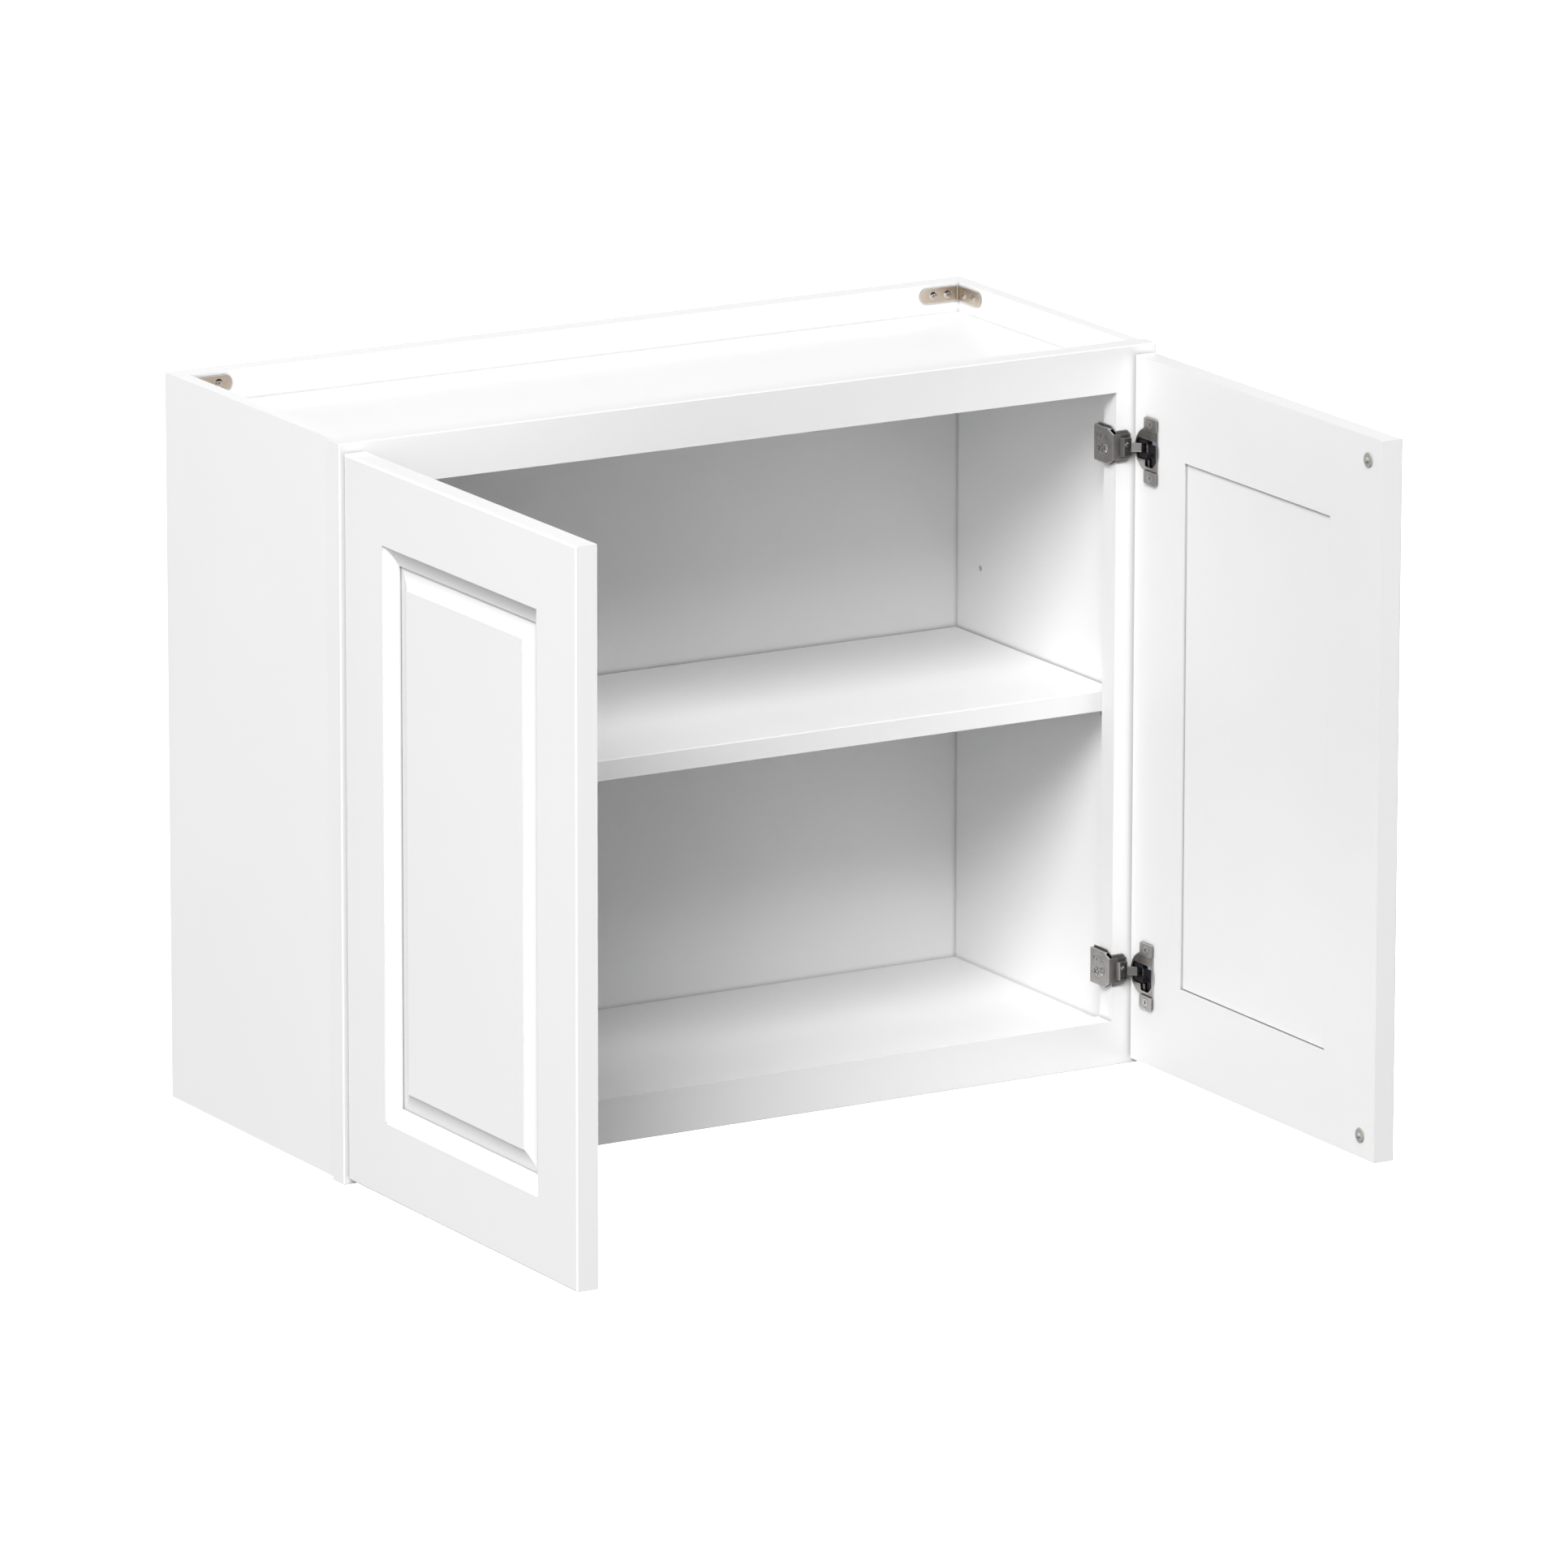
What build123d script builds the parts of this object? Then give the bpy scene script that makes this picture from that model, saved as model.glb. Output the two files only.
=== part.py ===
"""Framed wall cabinet, 30 x 24 x 12 in, with two raised-panel doors on soft-close cup hinges.

Axes: +X to the cabinet's right, +Y to the wall, +Z up. The origin is on the wall face, at the
middle of the upper hanging rail. The doors are modelled standing open at a right angle.
Sizes are in millimetres.
"""

from build123d import *
import os

os.makedirs("parts", exist_ok=True)

# ---------------------------------------------------------------- cabinet body
inch = 25.4
cabinet_width = 30 * inch
cabinet_height = 24 * inch
cabinet_depth = 12 * inch  # wall face to the front of the face frame

frame_thickness = 0.75 * inch
frame_member_width = 1.5 * inch
frame_overhang = 4.76  # face frame past each side panel
frame_edge_radius = 0.8

board_thickness = 0.5 * inch  # sides, top, bottom and hanging rails
dado_depth = 3.2  # top and bottom panels are let into the sides
top_recess = 1.0 * inch  # the top panel lies below the cabinet's top edge
bottom_recess = 0.5 * inch  # the bottom panel lies above the bottom edge
back_thickness = 0.25 * inch
upper_rail_height = 4 * inch
lower_rail_height = 3 * inch

shelf_top_height = 313.3  # above the cabinet's bottom edge
shelf_thickness = 17.5
shelf_end_gap = 1.5
shelf_front_setback = 9.4  # behind the back of the face frame
shelf_back_gap = 2.3

support_hole_radius = 2.5
support_hole_depth = 10.0
front_column_inset = 28.0  # hole columns from the face frame and from the back panel
back_column_inset = 38.1
support_hole_step = 3 * inch
support_gap = 0.3  # shelf to its supports
support_tab_thickness = 1.6

bracket_leg = 1.5 * inch
bracket_height = 0.5 * inch
bracket_thickness = 1.6
bracket_drop = 9.2  # centre line below the cabinet's top edge
bracket_hole_distances = (11.5, 25.5)
bracket_pilot_radius = 1.9

# ---------------------------------------------------------------- doors
door_width = 372.5
door_height = 23.5 * inch
door_thickness = 0.75 * inch
door_bottom_reveal = 5.3
door_side_reveal = 6.9  # closed door's hinge edge inside the frame's edge
door_member_width = 3.0 * inch
door_edge_radius = 1.5

sticking_width = 14.3
sticking_depth = 7.4
groove_front = 8.8  # depths are measured from the door's outer face
groove_back = 15.2
groove_depth = 9.5
tongue_front = 9.3
tongue_gap = 1.5
bevel_width = 16.3
bevel_top_depth = 5.2
field_depth = 4.3
panel_back_depth = 17.05
back_gap = 0.9  # between the panel and the frame, seen from behind

closed_gap = 3.2  # door's inner face to the face frame when shut
open_gap = 3.5  # door's hinge edge to the face frame when open

bumper_radius = 6.2
bumper_height = 2.9
bumper_flange = 1.2
bumper_dome_radius = 3.0
bumper_inset = 20.6  # from the free edge
bumper_end_inset = 19.0  # from the top and bottom edges

# ---------------------------------------------------------------- hinges
hinge_end_inset = 3 * inch  # hinge centre from the door's top or bottom edge
cup_inset = 18.9  # cup centre from the door's hinge edge
cup_radius = 17.45
cup_wall = 1.05
cup_depth = 11.8
cup_floor = 0.9
cup_bore_clearance = 0.15
rim_radius = 18.2
mouth_half_height = 8.8  # opening in the rim plate
mouth_end = 33.0
pocket_start = 15.5
pocket_drop = 14.2
ledge_span = (13.5, 19.2)  # shelf in the pocket, beside the insert's leg
ledge_depths = (1.2, 2.2)
rim_height = 0.8
tab_start = 15.8
tab_end = 35.5
tab_half_height = 28.2
tab_root = 16.6
tab_height = 2.3
tab_taper = 14
cup_screw_inset = 25.6
cup_screw_head = 3.3
cup_screw_spacing = 45.0

pivot_inset = 7.2  # from the door's hinge edge
pivot_depth = 7.5  # below the door's inner face
pin_radius = 1.4
pin_half_length = 8.2
running_clearance = 0.05
knuckle_radius = 2.6
knuckle_half_height = 3.7

lug_inner = 4.1
lug_outer = 8.2
lug_top_depth = 0.8
lug_reach = 12.3  # round the pivot, clear of the arm's boss
lug_span = 16.8  # from the door's hinge edge
insert_radius = 16.2
insert_floor_top = 9.9
insert_leg_depth = 3.4
leg_span = (19.6, 24.8)

slider_start = 11.8
slider_stem = 8.2
slider_stem_half = 3.7
slider_head = 4.4
slider_head_up = 3.7
slider_head_down = 6.3
slider_top = 5.0
slider_bottom = 9.6

switch_start = 20.2
switch_length = 5.2
switch_bottom = 4.1
switch_height = 4.4
switch_top_depth = 3.8
switch_bottom_depth = 8.0
switch_travel = 2.0

base_sheet = 0.9
base_half_height = 16.6
base_front_half_height = 12.3
base_wrap_half_height = 13.5
base_length = 27.0
base_front_reach = 12.0  # past the stile's edge
arm_sheet = 1.1
arm_offset = 3.2  # inner face of the arm's side leg from the stile's edge
arm_half_height = 15.0
arm_front_half_height = 10.8
arm_length = 27.5
arm_front_face = 2.0  # in front of the face frame
arm_front_reach = 12.6  # past the stile's edge
corner_setback = 7.0  # sloped front corners of both side legs
boss_start = 2.4
boss_end = 11.0
boss_half_height = 7.6
boss_face = 6.3
neck_thickness = 2.0
neck_drop = 11.2  # in front of the face frame
neck_knee = 17.2  # past the stile's edge
boss_screw_place = (7.2, 2.2)  # past the stile's edge, above the hinge centre
cam_place = (18.5, -3.8)  # behind the face frame's front, above the hinge centre
cam_radius = 3.9
lock_screw_place = (9.6, -2.4)
ring_place = (15.0, 0.2)
ring_radius = 10.0
ring_groove = (0.7, 0.4)  # width and depth
hook_slots = ((21.5, 7.2), (17.0, 6.9))
slot_size = (3.2, 1.1)
pip_place = (10.8, 5.6)
boss_panel = (4.6, 10.4, -6.4, 5.0)  # x and z ranges of the sunk panel
boss_panel_depth = 0.5
base_screw_heights = (-10.5, 10.5)
base_screw_setback = 22.5

# ---------------------------------------------------------------- derived places
top_z = upper_rail_height / 2
bottom_z = top_z - cabinet_height
frame_front_y = -cabinet_depth
frame_back_y = frame_front_y + frame_thickness
frame_half = cabinet_width / 2
opening_half = frame_half - frame_member_width
side_outer_x = frame_half - frame_overhang
side_inner_x = side_outer_x - board_thickness
back_rear_y = -board_thickness
back_front_y = back_rear_y - back_thickness
top_panel_z = top_z - top_recess
bottom_panel_z = bottom_z + bottom_recess
shelf_bottom_z = bottom_z + shelf_top_height - shelf_thickness
support_z = shelf_bottom_z - support_gap - support_tab_thickness / 2
support_ys = (frame_back_y + front_column_inset, back_front_y - back_column_inset)
bracket_z = top_z - bracket_drop

# The hinge pin is one point of the closed door and of the open door alike.
pivot_x = frame_half - door_side_reveal - pivot_inset
pivot_y = frame_front_y - closed_gap - pivot_depth
door_inner_x = pivot_x - pivot_depth
door_outer_x = door_inner_x + door_thickness
hinge_edge_y = frame_front_y - open_gap
door_bottom_z = bottom_z + door_bottom_reveal
door_top_z = door_bottom_z + door_height
free_edge_y = hinge_edge_y - door_width
hinge_heights = {
    "upper": door_top_z - hinge_end_inset,
    "lower": door_bottom_z + hinge_end_inset,
}
sides = {"left": -1, "right": 1}
stile_edge_x = opening_half


def keep(builder, name):
    """Label a finished piece and write its STEP file."""
    builder.part.label = name
    export_step(builder.part, f"parts/{name}.step")


def block(x_range, y_range, z_range, mode=Mode.ADD):
    """Add, cut or intersect an upright block given by its ranges."""
    x0, x1 = sorted(x_range)
    y0, y1 = sorted(y_range)
    z0, z1 = sorted(z_range)
    with Locations(((x0 + x1) / 2, (y0 + y1) / 2, (z0 + z1) / 2)):
        Box(x1 - x0, y1 - y0, z1 - z0, mode=mode)


def to_side(side):
    """Pieces are drawn on the right; a left-hand one is the mirror image."""
    if side < 0:
        mirror(about=Plane.YZ, mode=Mode.REPLACE)


def door_face(z, depth=0.0):
    """Plane on the open right door's inner face: x from its hinge edge, y up, normal outwards."""
    return Plane(origin=(door_inner_x + depth, hinge_edge_y, z), x_dir=(0, -1, 0), z_dir=(-1, 0, 0))


def stile_face(z, out=0.0):
    """Plane on the right stile's inner edge: x from the frame's front to the wall, y up, normal +X."""
    return Plane(origin=(stile_edge_x - out, frame_front_y, z), x_dir=(0, 1, 0), z_dir=(1, 0, 0))


def frame_plan(z):
    """Level plane: local x from the right stile's edge outwards, local y from the face frame's front."""
    return Plane(origin=(stile_edge_x, frame_front_y, z), x_dir=(1, 0, 0), z_dir=(0, 0, 1))


def boss_front(z):
    """Plane on the front of the arm's boss: local x as in frame_plan, local y up, normal to the viewer."""
    return Plane(origin=(stile_edge_x, frame_front_y - boss_face, z), x_dir=(1, 0, 0), z_dir=(0, -1, 0))


def leg_outline(front, back, front_half, back_half):
    """Hinge side leg: narrow at the face frame's corner, sloping out to its full height."""
    Polygon(
        (-front, -front_half),
        (-front, front_half),
        (corner_setback, back_half),
        (back, back_half),
        (back, -back_half),
        (corner_setback, -back_half),
        align=None,
    )


def cross_screw(plane, head_radius, head_rise, shank_radius, length, seat=0.0):
    """Screw with a cross recess, on an outward-facing plane; seat is the countersink's depth."""
    with BuildPart() as screw:
        with BuildSketch(Plane.XZ):
            Polygon(
                (0, head_rise),
                (head_radius * 0.6, head_rise),
                (head_radius, 0),
                (shank_radius, -seat),
                (shank_radius, -length + 1.5),
                (0, -length),
                align=None,
            )
        revolve(axis=Axis.Z)
        with Locations((0, 0, head_rise)):
            Box(head_radius * 1.1, 0.8, 1.6, mode=Mode.SUBTRACT)
            Box(0.8, head_radius * 1.1, 1.6, mode=Mode.SUBTRACT)
    return plane.location * screw.part


def screw_on(side, plane, *sizes):
    """A screw drawn on the right-hand side, or its mirror image on the left."""
    screw = cross_screw(plane, *sizes)
    return mirror(screw, about=Plane.YZ) if side < 0 else screw


def bracket_planes():
    """Planes on the right-hand bracket's two legs, at its screw holes."""
    planes = []
    for distance in bracket_hole_distances:
        planes.append(
            Plane(
                origin=(side_inner_x - distance, back_front_y - bracket_thickness, bracket_z),
                z_dir=(0, -1, 0),
            )
        )
        planes.append(
            Plane(
                origin=(side_inner_x - bracket_thickness, back_front_y - distance, bracket_z),
                z_dir=(-1, 0, 0),
            )
        )
    return planes


def keep_group(pieces, name):
    """Write separate solids as one named group."""
    with BuildPart() as group:
        for piece in pieces:
            add(piece)
    keep(group, name)


# ================================================================ face frame
with BuildPart() as frame_slab:
    block((-frame_half, frame_half), (frame_front_y, frame_back_y), (bottom_z, top_z))
    front_edges = frame_slab.faces().sort_by(Axis.Y)[0].edges()
    fillet(front_edges, radius=frame_edge_radius)

for side_name, side in sides.items():
    with BuildPart() as face_stile:
        block((opening_half, frame_half), (frame_front_y, frame_back_y), (bottom_z, top_z))
        add(frame_slab.part, mode=Mode.INTERSECT)
        for hinge_z in hinge_heights.values():
            for height in base_screw_heights:
                with BuildSketch(stile_face(hinge_z)):
                    with Locations((base_screw_setback, height)):
                        Circle(1.75)
                extrude(amount=16.5, mode=Mode.SUBTRACT)
        to_side(side)
    keep(face_stile, f"{side_name}_face_stile")

for name, rail_z in (
    ("upper_face_rail", (top_z - frame_member_width, top_z)),
    ("lower_face_rail", (bottom_z, bottom_z + frame_member_width)),
):
    with BuildPart() as face_rail:
        block((-opening_half, opening_half), (frame_front_y, frame_back_y), rail_z)
        add(frame_slab.part, mode=Mode.INTERSECT)
    keep(face_rail, name)

# ================================================================ carcass
for side_name, side in sides.items():
    with BuildPart() as side_panel:
        block((side_inner_x, side_outer_x), (frame_back_y, 0), (bottom_z, top_z))
        for panel_z, depth in (
            (top_panel_z - board_thickness, dado_depth),
            (bottom_panel_z, dado_depth),
        ):
            block(
                (side_inner_x, side_inner_x + depth),
                (frame_back_y, back_front_y),
                (panel_z, panel_z + board_thickness),
                mode=Mode.SUBTRACT,
            )
        # shelf-support holes: the used pair and the free pair above, front and back
        for y in support_ys:
            for z in (support_z, support_z + support_hole_step):
                with BuildSketch(Plane(origin=(side_inner_x, y, z), z_dir=(1, 0, 0))):
                    Circle(support_hole_radius)
                extrude(amount=support_hole_depth, mode=Mode.SUBTRACT)
        # pilot holes for the corner bracket's screws
        for distance in bracket_hole_distances:
            hole_plane = Plane(origin=(side_inner_x, back_front_y - distance, bracket_z), z_dir=(1, 0, 0))
            with BuildSketch(hole_plane):
                Circle(bracket_pilot_radius)
            extrude(amount=9.0, mode=Mode.SUBTRACT)
        to_side(side)
    keep(side_panel, f"{side_name}_side_panel")

for name, panel_z in (
    ("top_panel", top_panel_z - board_thickness),
    ("bottom_panel", bottom_panel_z),
):
    with BuildPart() as flat_panel:
        reach = side_inner_x + dado_depth
        block((-reach, reach), (frame_back_y, back_front_y), (panel_z, panel_z + board_thickness))
    keep(flat_panel, name)

with BuildPart() as back_panel:
    block((-side_inner_x, side_inner_x), (back_front_y, back_rear_y), (bottom_z, top_z))
    for side in sides.values():
        for distance in bracket_hole_distances:
            with BuildSketch(Plane.XZ.offset(-back_front_y)):
                with Locations((side * (side_inner_x - distance), bracket_z)):
                    Circle(bracket_pilot_radius)
            extrude(amount=-back_thickness, mode=Mode.SUBTRACT)
keep(back_panel, "back_panel")

for name, rail_z in (
    ("upper_hanging_rail", (top_z - upper_rail_height, top_z)),
    ("lower_hanging_rail", (bottom_z, bottom_z + lower_rail_height)),
):
    with BuildPart() as hanging_rail:
        block((-side_inner_x, side_inner_x), (back_rear_y, 0), rail_z)
        if name == "upper_hanging_rail":
            for side in sides.values():
                for distance in bracket_hole_distances:
                    with BuildSketch(Plane.XZ.offset(-back_rear_y)):
                        with Locations((side * (side_inner_x - distance), bracket_z)):
                            Circle(bracket_pilot_radius)
                    extrude(amount=-3.0, mode=Mode.SUBTRACT)
    keep(hanging_rail, name)

# ================================================================ shelf and its supports
with BuildPart() as shelf:
    shelf_half = side_inner_x - shelf_end_gap
    block(
        (-shelf_half, shelf_half),
        (frame_back_y + shelf_front_setback, back_front_y - shelf_back_gap),
        (shelf_bottom_z, shelf_bottom_z + shelf_thickness),
    )
    fillet(shelf.edges().filter_by(Axis.X).group_by(Axis.Y)[0], radius=0.8)
keep(shelf, "shelf")

with BuildPart() as shelf_supports:
    for side in sides.values():
        for y in support_ys:
            # peg in its hole, a collar plate on the panel and a flat tab under the shelf
            with BuildSketch(Plane(origin=(side * side_inner_x, y, support_z), z_dir=(side, 0, 0))):
                Circle(support_hole_radius - running_clearance)
            extrude(amount=support_hole_depth - 2)
            wall = side * side_inner_x
            block((wall, wall - side * 1.2), (y - 6, y + 6), (support_z - 9, support_z + 0.8))
            block((wall, wall - side * 11), (y - 6, y + 6), (support_z - 0.8, support_z + 0.8))
keep(shelf_supports, "shelf_supports")

# ================================================================ corner brackets
bracket_screws = [
    screw_on(side, plane, 3.4, 0.9, 1.5, 9.0, 1.9) for side in sides.values() for plane in bracket_planes()
]
for side_name, side in sides.items():
    with BuildPart() as bracket:
        # L-shaped strap with a rounded bend, then rounded ends and countersunk holes
        with BuildSketch(Plane.XY.offset(bracket_z - bracket_height / 2)):
            corner = (side_inner_x, back_front_y)
            with BuildLine():
                Polyline(
                    (corner[0] - bracket_leg, corner[1]),
                    corner,
                    (corner[0], corner[1] - bracket_leg),
                )
                offset(amount=bracket_thickness, side=Side.RIGHT)
            make_face()
        extrude(amount=bracket_height)
        inner_corner = Vector(corner[0] - bracket_thickness, corner[1] - bracket_thickness, bracket_z)
        bend_edges = bracket.edges().filter_by(Axis.Z).sort_by_distance(inner_corner)
        fillet(bend_edges[0], radius=1.2)
        end_edges = (
            bracket.edges().filter_by(Axis.Y).group_by(Axis.X)[0]
            + bracket.edges().filter_by(Axis.X).group_by(Axis.Y)[0]
        )
        fillet(end_edges, radius=bracket_height / 2 - 0.1)
        for plane in bracket_planes():
            with Locations(plane):
                CounterSinkHole(1.8, 3.5, depth=4)
        to_side(side)
    keep(bracket, f"{side_name}_corner_bracket")


# ================================================================ doors
def door_plan(z):
    """Plane across the open right door: x from its hinge edge, y from its inner face outwards."""
    return Plane(origin=(door_inner_x, hinge_edge_y, z), x_dir=(0, -1, 0), z_dir=(0, 0, 1))


def door_upright():
    """Plane along the open right door's height: x up from its bottom edge, y as in door_plan."""
    return Plane(origin=(door_inner_x, hinge_edge_y, door_bottom_z), x_dir=(0, 0, 1), z_dir=(0, 1, 0))


def opening_outline(size):
    """Hole through the door frame: hollowed sticking, lip, panel groove and back lip."""
    lip = door_member_width
    start = lip - sticking_width
    groove = lip - groove_depth
    outer = door_thickness
    quirk = 1.0
    hollow = 0.8
    with BuildLine() as outline:
        Polyline((size / 2, outer + 1), (start, outer + 1), (start, outer - quirk))
        ThreePointArc(
            (start, outer - quirk),
            ((start + lip) / 2 - hollow / 2, outer - (quirk + sticking_depth) / 2 - hollow),
            (lip, outer - sticking_depth),
        )
        Polyline(
            (lip, outer - sticking_depth),
            (lip, outer - groove_front),
            (groove, outer - groove_front),
            (groove, outer - groove_back),
            (lip, outer - groove_back),
            (lip, -1),
            (size / 2, -1),
        )
        mirror(about=Plane.YZ.offset(size / 2))
    make_face(outline.edges())


def panel_outline(size):
    """Raised panel: back, tongue, coved bevel, step and field."""
    edge = door_member_width - groove_depth + tongue_gap
    field = door_member_width + bevel_width
    bevel_foot = door_member_width + 1.3
    shoulder = door_member_width + back_gap
    outer = door_thickness
    tongue_back = groove_back - 0.2
    with BuildLine() as outline:
        Polyline(
            (size / 2, outer - panel_back_depth),
            (shoulder, outer - panel_back_depth),
            (shoulder, outer - tongue_back),
            (edge, outer - tongue_back),
            (edge, outer - tongue_front),
            (bevel_foot, outer - tongue_front),
        )
        ThreePointArc(
            (bevel_foot, outer - tongue_front),
            ((bevel_foot + field) / 2, outer - (tongue_front + bevel_top_depth) / 2 - 0.8),
            (field, outer - bevel_top_depth),
        )
        Polyline(
            (field, outer - bevel_top_depth),
            (field, outer - field_depth),
            (size / 2, outer - field_depth),
        )
        mirror(about=Plane.YZ.offset(size / 2))
    make_face(outline.edges())


def crossed(outline):
    """Solid that follows the same outline across the door and up it, with mitred corners."""
    with BuildPart() as upright:
        with BuildSketch(door_plan(door_bottom_z)):
            outline(door_width)
        extrude(amount=door_height)
    with BuildPart() as level:
        with BuildSketch(door_upright()):
            outline(door_height)
        extrude(amount=-door_width)
    with BuildPart() as both:
        add(upright.part)
        add(level.part, mode=Mode.INTERSECT)
    return both.part


opening_cutter = crossed(opening_outline)
raised_panel = crossed(panel_outline)

with BuildPart() as door_ring:
    block(
        (door_inner_x, door_outer_x),
        (hinge_edge_y, free_edge_y),
        (door_bottom_z, door_top_z),
    )
    fillet(door_ring.faces().sort_by(Axis.X)[-1].edges(), radius=door_edge_radius)
    add(opening_cutter, mode=Mode.SUBTRACT)

# Stile and rail split: the sticking meets on a mitre, the back shoulders on a butt joint.
joint = door_member_width - sticking_width
member = door_member_width
front_zone = door_thickness - groove_front
with BuildPart() as stile_zone:
    with BuildSketch(door_face(door_bottom_z, front_zone)):
        Polygon(
            (-1, -1),
            (joint, -1),
            (joint, joint),
            (member, member),
            (member, door_height - member),
            (joint, door_height - joint),
            (joint, door_height + 1),
            (-1, door_height + 1),
            align=None,
        )
    extrude(amount=-(groove_front + 1))
    block(
        (door_inner_x - 1, door_inner_x + front_zone),
        (hinge_edge_y + 1, hinge_edge_y - member),
        (door_bottom_z - 1, door_top_z + 1),
    )

middle_y = (hinge_edge_y + free_edge_y) / 2
lock_stile_zone = mirror(stile_zone.part, about=Plane.XZ.offset(-middle_y))
with BuildPart() as hinge_stile_blank:
    add(door_ring.part)
    add(stile_zone.part, mode=Mode.INTERSECT)
with BuildPart() as lock_stile_blank:
    add(door_ring.part)
    add(lock_stile_zone, mode=Mode.INTERSECT)

for side_name, side in sides.items():
    with BuildPart() as hinge_stile:
        add(hinge_stile_blank.part)
        for hinge_z in hinge_heights.values():
            with BuildSketch(door_face(hinge_z)):
                with Locations((cup_inset, 0)):
                    Circle(cup_radius + cup_bore_clearance)
            extrude(amount=-(cup_depth + 0.2), mode=Mode.SUBTRACT)
            with BuildSketch(door_face(hinge_z)):
                with Locations((cup_screw_inset, 0)):
                    with GridLocations(0, cup_screw_spacing, 1, 2):
                        Circle(1.75)
            extrude(amount=-14.0, mode=Mode.SUBTRACT)
        to_side(side)
    keep(hinge_stile, f"{side_name}_door_hinge_stile")

    with BuildPart() as lock_stile:
        add(lock_stile_blank.part)
        to_side(side)
    keep(lock_stile, f"{side_name}_door_lock_stile")

    for name, z_range in (
        ("bottom_rail", (door_bottom_z - 1, door_bottom_z + door_height / 2)),
        ("top_rail", (door_bottom_z + door_height / 2, door_top_z + 1)),
    ):
        with BuildPart() as door_rail:
            add(door_ring.part)
            across = (door_inner_x - 1, door_outer_x + 1)
            block(across, (hinge_edge_y, free_edge_y), z_range, mode=Mode.INTERSECT)
            add(hinge_stile_blank.part, mode=Mode.SUBTRACT)
            add(lock_stile_blank.part, mode=Mode.SUBTRACT)
            to_side(side)
        keep(door_rail, f"{side_name}_door_{name}")

    with BuildPart() as door_panel:
        add(raised_panel)
        to_side(side)
    keep(door_panel, f"{side_name}_door_panel")

    with BuildPart() as bumpers:
        # a thin round flange with a small dome on it, stuck to the inner face at the free corners
        for z in (door_bottom_z + bumper_end_inset, door_top_z - bumper_end_inset):
            with BuildSketch(door_face(z)):
                with Locations((door_width - bumper_inset, 0)):
                    Circle(bumper_radius)
            extrude(amount=bumper_flange, taper=20)
            with BuildSketch(door_face(z)):
                with Locations((door_width - bumper_inset, 0)):
                    Circle(bumper_dome_radius)
            extrude(amount=bumper_height, taper=28)
        to_side(side)
    keep(bumpers, f"{side_name}_door_bumpers")


# ================================================================ hinges
def cup(hinge_z):
    """Drawn cup with its rim and screw flange."""
    with BuildPart() as shell:
        with BuildSketch(door_face(hinge_z)):
            with Locations((cup_inset, 0)):
                Circle(cup_radius)
        extrude(amount=-cup_depth)
        fillet(shell.faces().sort_by(Axis.X)[-1].edges(), radius=1.5)
        with BuildSketch(door_face(hinge_z)):
            with Locations((cup_inset, 0)):
                Circle(rim_radius)
            with Locations(((tab_start + tab_end) / 2, 0)):
                RectangleRounded(tab_end - tab_start, 2 * tab_half_height, 3.0)
        extrude(amount=rim_height)
        for end in (-1, 1):
            tab_middle = end * (tab_root + tab_half_height) / 2
            with BuildSketch(door_face(hinge_z, -rim_height)):
                with Locations(((tab_start + tab_end) / 2, tab_middle)):
                    RectangleRounded(tab_end - tab_start, tab_half_height - tab_root, 2.0)
            extrude(amount=tab_height - rim_height, taper=tab_taper)
        with BuildSketch(door_face(hinge_z)):
            with Locations((cup_inset, 0)):
                Circle(cup_radius - cup_wall)
        extrude(amount=-(cup_depth - cup_floor), mode=Mode.SUBTRACT)
        with BuildSketch(door_face(hinge_z, -rim_height)):
            with Locations((mouth_end / 2, 0)):
                Rectangle(mouth_end, 2 * mouth_half_height)
            with Locations(((pocket_start + mouth_end) / 2, -pocket_drop / 2)):
                RectangleRounded(mouth_end - pocket_start, pocket_drop, 2.0)
            with Locations((cup_inset, 0)):
                Circle(cup_radius - cup_wall, mode=Mode.INTERSECT)
        extrude(amount=-(rim_height + 0.1), mode=Mode.SUBTRACT)
        with BuildSketch(door_face(hinge_z, ledge_depths[0])):
            with Locations((sum(ledge_span) / 2, -cup_radius / 2 - mouth_half_height / 2)):
                Rectangle(ledge_span[1] - ledge_span[0], cup_radius - mouth_half_height)
            with Locations((cup_inset, 0)):
                Circle(cup_radius - cup_wall / 2, mode=Mode.INTERSECT)
        extrude(amount=-(ledge_depths[1] - ledge_depths[0]))
        for end in (-1, 1):
            height = hinge_z + end * cup_screw_spacing / 2
            with Locations(door_face(height, -tab_height)):
                with Locations((cup_screw_inset, 0)):
                    CounterSinkHole(2.0, cup_screw_head + 0.4, depth=4)
    return shell


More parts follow.
